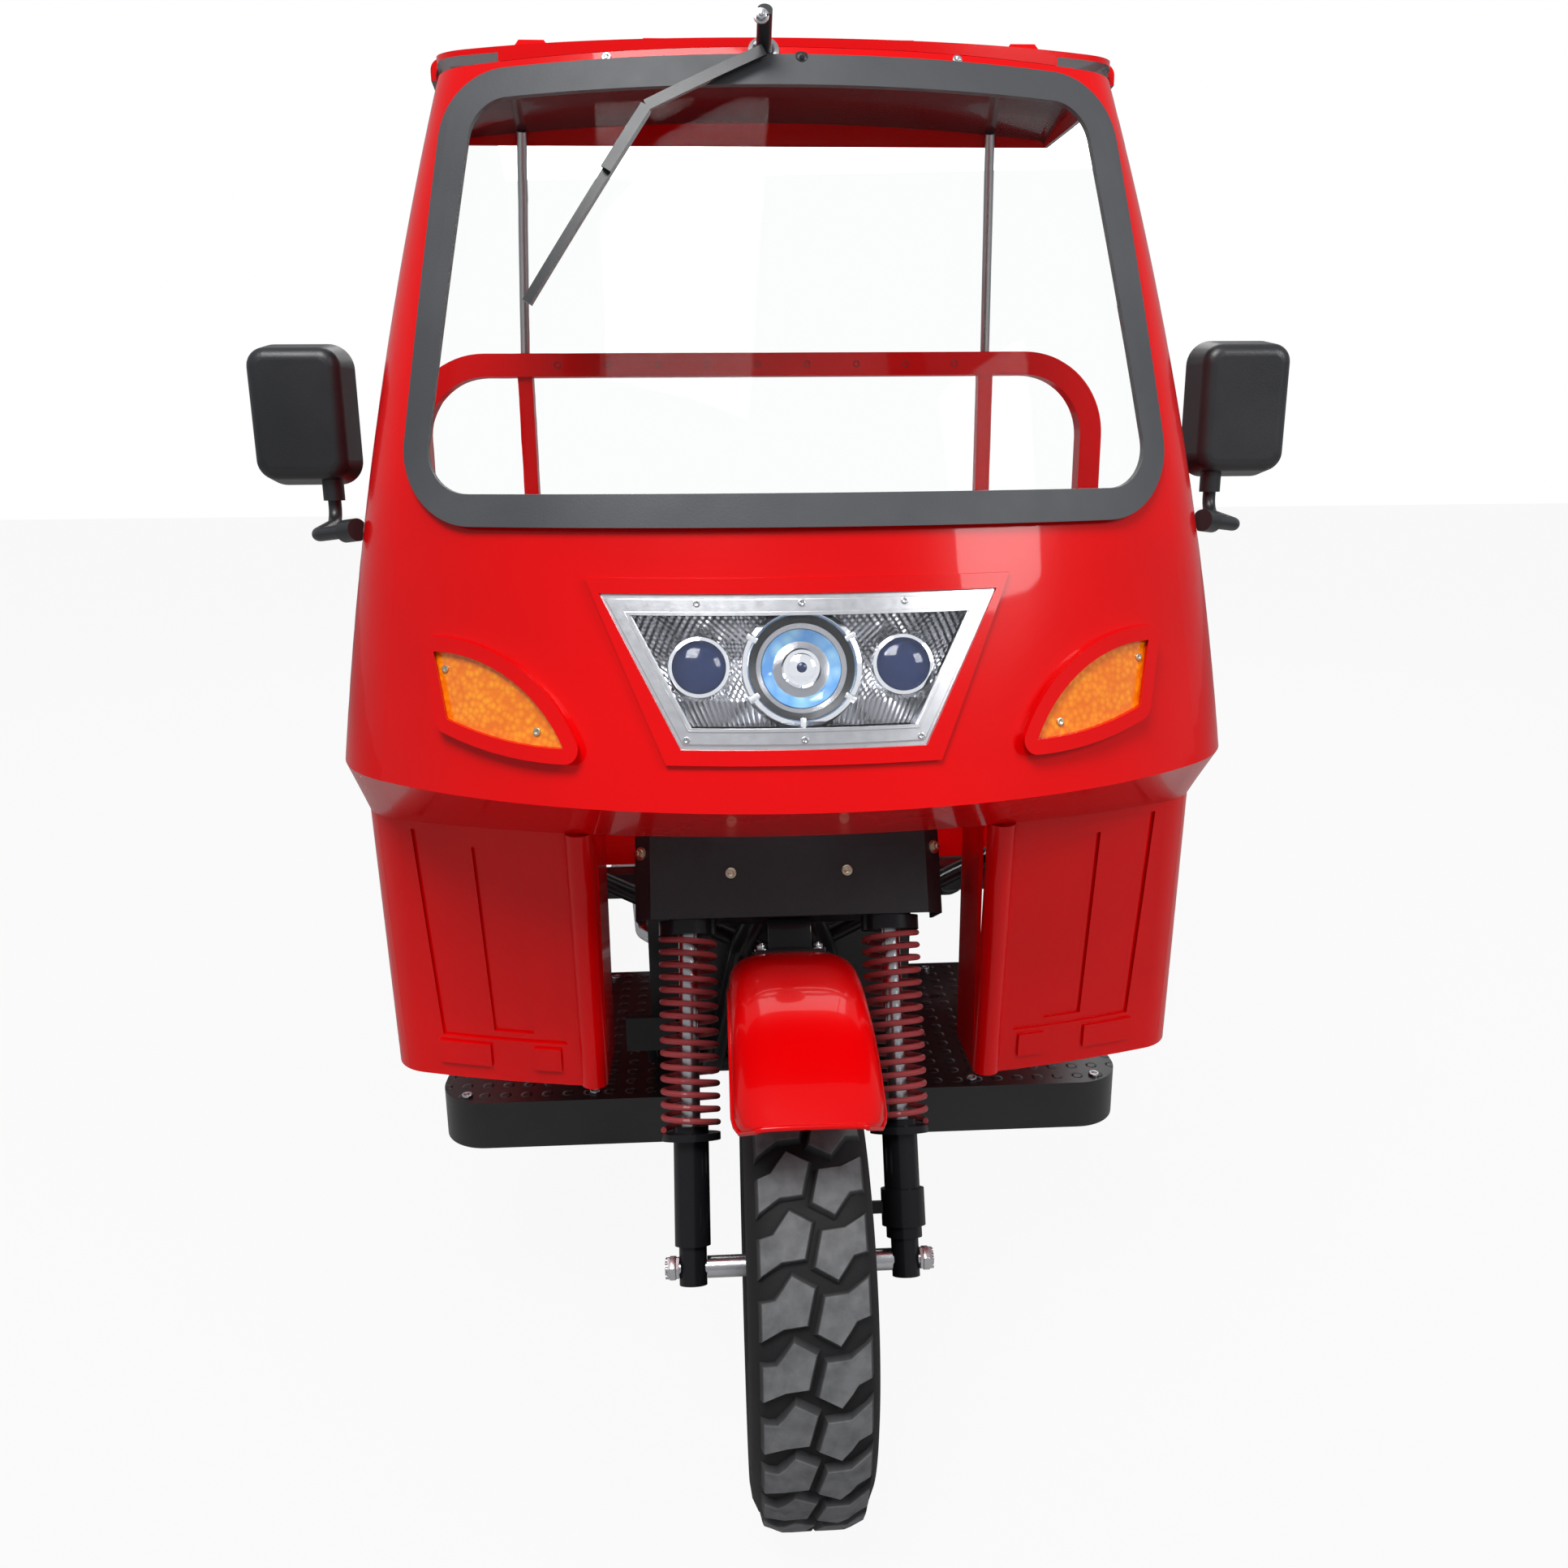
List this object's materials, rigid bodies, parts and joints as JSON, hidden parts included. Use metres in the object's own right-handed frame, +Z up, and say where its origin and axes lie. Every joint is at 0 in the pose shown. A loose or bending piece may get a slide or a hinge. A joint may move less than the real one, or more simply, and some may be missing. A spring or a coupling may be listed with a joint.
{
  "type": "cargo tricycle with cabin",
  "caption": "Motor cargo tricycle with an open-sided driver's cabin, single steered front wheel, roof, bench seat and a dropside-style cargo box with a hinged tailgate.",
  "frame": {"origin": "on the ground under the middle of the bounding box", "axes": "the front faces -Y, +X is the driver's left, +Z is up"},
  "size_m": [1.312, 3.158, 1.7944],
  "materials": {
    "body_red": "gloss",
    "frame_black": "satin",
    "black_plastic": "matte",
    "clear_glass": "clear",
    "gasket_rubber": "matte",
    "tyre_rubber": "matte",
    "rim_paint": "satin",
    "steel": "satin",
    "chrome": "polished",
    "spring_red": "satin",
    "amber": "gloss",
    "lamp_red": "gloss",
    "cast_alloy": "cast",
    "vinyl": "satin",
    "mirror": "polished",
    "silver_paint": "satin"
  },
  "bodies": {
    "chassis": {"cab_front_panel": "body_red", "cab_side_left": "body_red", "cab_side_right": "body_red", "cab_roof": "body_red", "cargo_floor": "body_red", "cargo_side_left": "body_red", "cargo_side_right": "body_red", "cargo_headboard": "body_red", "seat_base": "body_red", "rear_mudguards": "body_red", "chassis_frame": "frame_black", "front_frame": "frame_black", "leaf_springs": "frame_black", "rear_axle": "frame_black", "drive_shaft": "frame_black", "brake_pedal": "frame_black", "plate_bracket": "frame_black", "wiper_arm": "black_plastic", "wiper_blade": "black_plastic", "mirror_arms": "black_plastic", "mirror_heads": "black_plastic", "footboards": "black_plastic", "splash_guard": "black_plastic", "battery_box": "black_plastic", "windshield": "clear_glass", "headlamp_lens": "clear_glass", "windshield_gasket": "gasket_rubber", "exhaust": "steel", "headlamp_housing": "chrome", "headlamp_projectors": "chrome", "headlamp_bulbs": "chrome", "turn_signals": "amber", "tail_lamps": "lamp_red", "engine": "cast_alloy", "seat_cushion": "vinyl", "seat_backrest": "vinyl", "mirror_glasses": "mirror", "roof_stays": "silver_paint"},
    "steering": {"fork_legs": "rim_paint", "fork_springs": "spring_red", "fork_stanchions": "steel", "fork_caps": "frame_black", "fork_crown": "frame_black", "fork_cover": "black_plastic", "front_axle": "steel", "brake_plate": "cast_alloy", "front_fender": "body_red", "handlebar": "steel", "gauge": "black_plastic"},
    "front_wheel": {"front_tyre": "tyre_rubber", "front_rim": "rim_paint"},
    "rear_wheel_left": {"rear_tyre_left": "tyre_rubber", "rear_rim_left": "rim_paint"},
    "rear_wheel_right": {"rear_tyre_right": "tyre_rubber", "rear_rim_right": "rim_paint"},
    "tailgate": {"tailgate": "body_red"}
  },
  "joints": [
    {"name": "steering", "type": "hinge", "parent": "chassis", "child": "steering", "pos_m": [0, -1.03984, 0.71413], "axis": [0, 0.4289, 0.9033], "range_deg": [-35, 35]},
    {"name": "front_wheel_spin", "type": "hinge", "parent": "steering", "child": "front_wheel", "pos_m": [0, -1.295, 0.284], "axis": [1, 0, 0], "continuous": true},
    {"name": "rear_wheel_left_spin", "type": "hinge", "parent": "chassis", "child": "rear_wheel_left", "pos_m": [0.54, 0.855, 0.284], "axis": [1, 0, 0], "continuous": true},
    {"name": "rear_wheel_right_spin", "type": "hinge", "parent": "chassis", "child": "rear_wheel_right", "pos_m": [-0.54, 0.855, 0.284], "axis": [1, 0, 0], "continuous": true},
    {"name": "tailgate_hinge", "type": "hinge", "parent": "chassis", "child": "tailgate", "pos_m": [0, 1.565, 0.65], "axis": [-1, 0, 0], "range_deg": [0, 170]}
  ]
}
